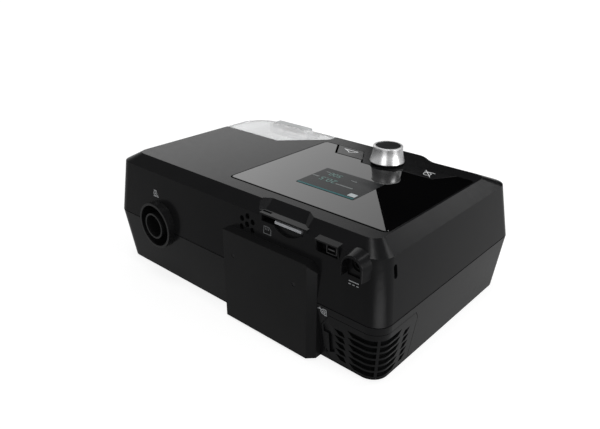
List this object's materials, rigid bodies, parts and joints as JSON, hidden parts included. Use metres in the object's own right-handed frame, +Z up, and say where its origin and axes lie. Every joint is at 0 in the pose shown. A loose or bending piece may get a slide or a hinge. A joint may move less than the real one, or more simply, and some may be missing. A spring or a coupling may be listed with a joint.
{
  "type": "cpap machine",
  "caption": "Bedside breathing machine: low dark case with a screen, dial and keys, a hose outlet and sockets behind, and a clear water chamber that slides out at the front.",
  "frame": {"origin": "centre of the bounding box's underside, on the surface the four feet stand on", "axes": "+Z up; the side the user faces, with the dial in front of the screen, is -Y; the hose outlet and the sockets face +Y; +X is the user's right, where the water chamber is"},
  "size_m": [0.282, 0.194, 0.114],
  "materials": {
    "case_plastic": "fine satin moulding, nearly black",
    "lens_gloss": "polished black front panel",
    "knob_silver": "satin silver",
    "cap_grey": "smooth dark grey",
    "key_gloss": "polished black with pale symbols",
    "outlet_plastic": "satin dark grey",
    "card_plastic": "pale grey",
    "steel": "bare metal",
    "jack_plastic": "black",
    "module_plastic": "fine satin moulding, nearly black",
    "cover_plastic": "fine satin moulding, nearly black",
    "clear_plastic": "clear moulding",
    "tub_plastic": "clear moulding",
    "latch_plastic": "mid grey",
    "screen_glass": "grey screen with teal numerals",
    "board_green": "solder mask",
    "ribbon_plastic": "amber film",
    "inner_plastic": "plain grey moulding",
    "speaker_metal": "black",
    "filter_foam": "dark open pad",
    "motor_metal": "zinc grey",
    "soft_rubber": "matt black",
    "dark_foam": "open foam",
    "base_metal": "bare metal",
    "heater_metal": "bare metal",
    "insulator": "pale board"
  },
  "bodies": {
    "case": {"top_case": "case_plastic", "bottom_case": "case_plastic", "display_lens": "lens_gloss", "air_outlet": "outlet_plastic", "usb_socket": "steel", "dc_jack": "jack_plastic", "module_cover": "module_plastic", "module_screws": "steel", "lcd_module": "screen_glass", "display_board": "board_green", "main_board": "board_green", "board_ribbon": "ribbon_plastic", "board_screws": "steel", "encoder_body": "steel", "button_switches": "inner_plastic", "sd_socket": "steel", "speaker": "speaker_metal", "module_board": "board_green", "blower_lower": "inner_plastic", "blower_upper": "inner_plastic", "motor_case": "motor_metal", "motor_bearings": "steel", "blower_mounts": "soft_rubber", "muffler_box": "inner_plastic", "muffler_foam": "dark_foam", "blower_duct": "inner_plastic", "inlet_seal": "soft_rubber", "outlet_seal": "soft_rubber", "heater_plate": "heater_metal", "heater_insulator": "insulator", "feet": "soft_rubber", "case_screws": "steel"},
    "knob_push": {"encoder_plunger": "inner_plastic"},
    "knob": {"encoder_shaft": "inner_plastic", "knob_ring": "knob_silver", "knob_cap": "cap_grey"},
    "ramp_key": {"ramp_button": "key_gloss"},
    "mute_key": {"mute_button": "key_gloss"},
    "card": {"sd_card": "card_plastic"},
    "filter": {"filter_cover": "cover_plastic", "air_filter": "filter_foam"},
    "chamber": {"chamber_lid": "clear_plastic", "chamber_tub": "tub_plastic", "chamber_seal": "soft_rubber", "chamber_base": "base_metal", "latch_springs": "steel"},
    "latch": {"chamber_latch": "latch_plastic"},
    "fan": {"impeller": "inner_plastic", "motor_shaft": "steel"}
  },
  "joints": [
    {"name": "knob_press", "type": "slide", "parent": "case", "child": "knob_push", "axis": [0, 0, -1], "range_m": [0, 0.0005], "stiffness_N_per_m": 6000, "springref_m": -0.0002},
    {"name": "knob_turn", "type": "hinge", "parent": "knob_push", "child": "knob", "pos_m": [-0.0497, -0.045, 0.1], "axis": [0, 0, 1], "continuous": true},
    {"name": "ramp_press", "type": "slide", "parent": "case", "child": "ramp_key", "axis": [0, 0, -1], "range_m": [0, 0.0008], "stiffness_N_per_m": 2500, "springref_m": -0.0002},
    {"name": "mute_press", "type": "slide", "parent": "case", "child": "mute_key", "axis": [0, 0, -1], "range_m": [0, 0.0008], "stiffness_N_per_m": 2500, "springref_m": -0.0002},
    {"name": "card_slide", "type": "slide", "parent": "case", "child": "card", "axis": [0, 1, 0], "range_m": [0, 0.028]},
    {"name": "filter_slide", "type": "slide", "parent": "case", "child": "filter", "axis": [-0.7071, 0.7071, 0], "range_m": [0, 0.025]},
    {"name": "chamber_slide", "type": "slide", "parent": "case", "child": "chamber", "axis": [0, -1, 0], "range_m": [0, 0.14]},
    {"name": "latch_press", "type": "slide", "parent": "chamber", "child": "latch", "axis": [0, 0, -1], "range_m": [0, 0.002], "stiffness_N_per_m": 1500, "springref_m": -0.0005, "deforming": ["latch_springs"]},
    {"name": "fan_spin", "type": "hinge", "parent": "case", "child": "fan", "pos_m": [-0.058, -0.002, 0.05], "axis": [0, 0, 1], "continuous": true}
  ]
}
